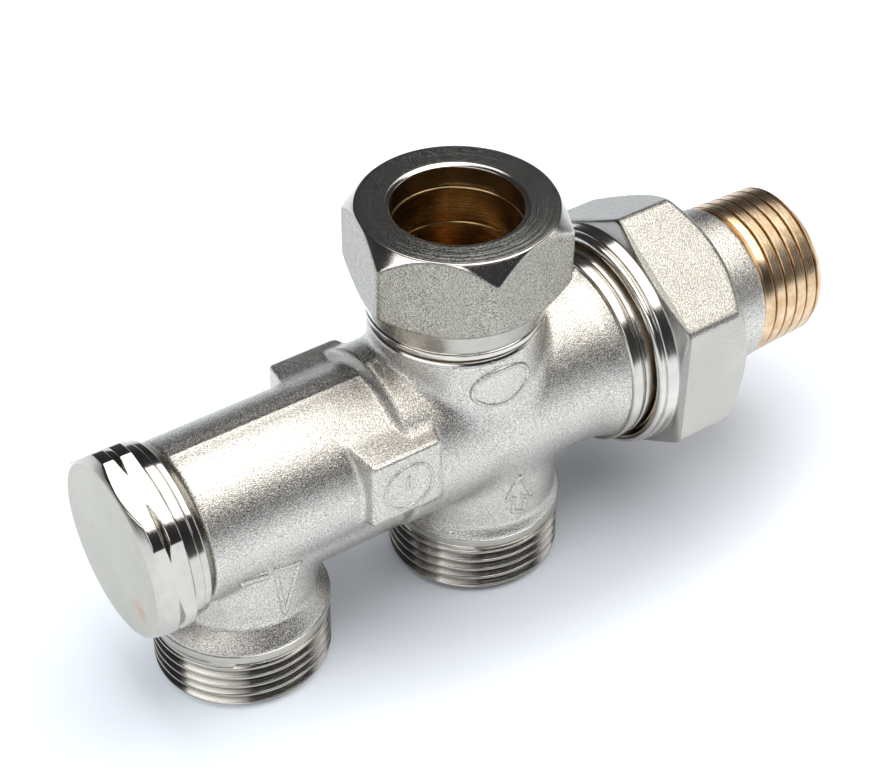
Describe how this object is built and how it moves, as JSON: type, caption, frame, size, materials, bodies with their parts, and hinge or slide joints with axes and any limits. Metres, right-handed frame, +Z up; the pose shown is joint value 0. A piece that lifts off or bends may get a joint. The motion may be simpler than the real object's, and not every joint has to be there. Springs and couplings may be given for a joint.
{
  "type": "radiator valve",
  "caption": "Nickel-plated lower radiator valve with two bottom ports, riser compression connection, lockshield spindle under a cap, and a radiator union.",
  "frame": {"origin": "on the floor that the two bottom ports stand on, under the middle of the overall box", "axes": "+X along the main bore from the cap to the radiator tailpiece, +Z up along the riser, +Y across, away from the picture's camera"},
  "size_m": [0.1006, 0.03, 0.0542],
  "materials": {
    "nickel_blasted": "satin",
    "nickel_bright": "polished",
    "brass_threads": "turned",
    "brass_inner": "turned",
    "spring_steel": "satin",
    "seal_rubber": "matte",
    "seal_fibre": "matte"
  },
  "bodies": {
    "valve": {"valve_body": "nickel_blasted", "bonnet": "brass_threads", "bonnet_seal": "seal_rubber", "spindle_seal_outer": "seal_rubber", "spindle_seal_inner": "seal_rubber", "spindle_clip": "spring_steel", "flow_sleeve": "brass_threads", "sleeve_seal_left": "seal_rubber", "sleeve_seal_right": "seal_rubber", "sleeve_ring": "spring_steel"},
    "cap_seal": {"cap_seal": "seal_fibre"},
    "cap": {"blanking_cap": "nickel_bright"},
    "disc": {"shut_off_disc": "brass_threads", "disc_seal": "seal_rubber"},
    "spindle": {"spindle": "brass_threads", "disc_nut": "brass_threads"},
    "cone_ring": {"compression_ring": "brass_inner"},
    "riser_nut": {"compression_nut": "nickel_blasted"},
    "tail_seal": {"tail_seal": "seal_fibre"},
    "union_nut": {"union_nut": "nickel_blasted"},
    "tailpiece": {"tailpiece": "brass_threads"}
  },
  "joints": [
    {"name": "cap_travel", "type": "slide", "parent": "valve", "child": "cap_seal", "axis": [-1, 0, 0], "range_m": [0, 0.0045]},
    {"name": "cap_turn", "type": "hinge", "parent": "cap_seal", "child": "cap", "pos_m": [-0.04675, 0, 0.0248], "axis": [-1, 0, 0], "range_deg": [0, 1080]},
    {"name": "disc_travel", "type": "slide", "parent": "valve", "child": "disc", "axis": [1, 0, 0], "range_m": [0, 0.003]},
    {"name": "spindle_turn", "type": "hinge", "parent": "disc", "child": "spindle", "pos_m": [-0.0345, 0, 0.0248], "axis": [1, 0, 0], "range_deg": [0, 1080]},
    {"name": "cone_ring_travel", "type": "slide", "parent": "valve", "child": "cone_ring", "axis": [0, 0, 1], "range_m": [0, 0.0075]},
    {"name": "riser_nut_turn", "type": "hinge", "parent": "cone_ring", "child": "riser_nut", "pos_m": [-0.00275, 0, 0.0469], "axis": [0, 0, 1], "range_deg": [0, 1800]},
    {"name": "tail_travel", "type": "slide", "parent": "valve", "child": "tail_seal", "axis": [1, 0, 0], "range_m": [0, 0.00726]},
    {"name": "union_nut_turn", "type": "hinge", "parent": "tail_seal", "child": "union_nut", "pos_m": [0.0255, 0, 0.0248], "axis": [1, 0, 0], "range_deg": [0, 1440]},
    {"name": "tailpiece_swivel", "type": "hinge", "parent": "tail_seal", "child": "tailpiece", "pos_m": [0.0391, 0, 0.0248], "axis": [1, 0, 0], "continuous": true}
  ],
  "couplings": [
    {"joint": "cap_turn", "follows": "cap_travel", "rad_per_m": 4188.8},
    {"joint": "spindle_turn", "follows": "disc_travel", "rad_per_m": 6283.2},
    {"joint": "riser_nut_turn", "follows": "cone_ring_travel", "rad_per_m": 4188.8},
    {"joint": "union_nut_turn", "follows": "tail_travel", "rad_per_m": 3463.7}
  ]
}
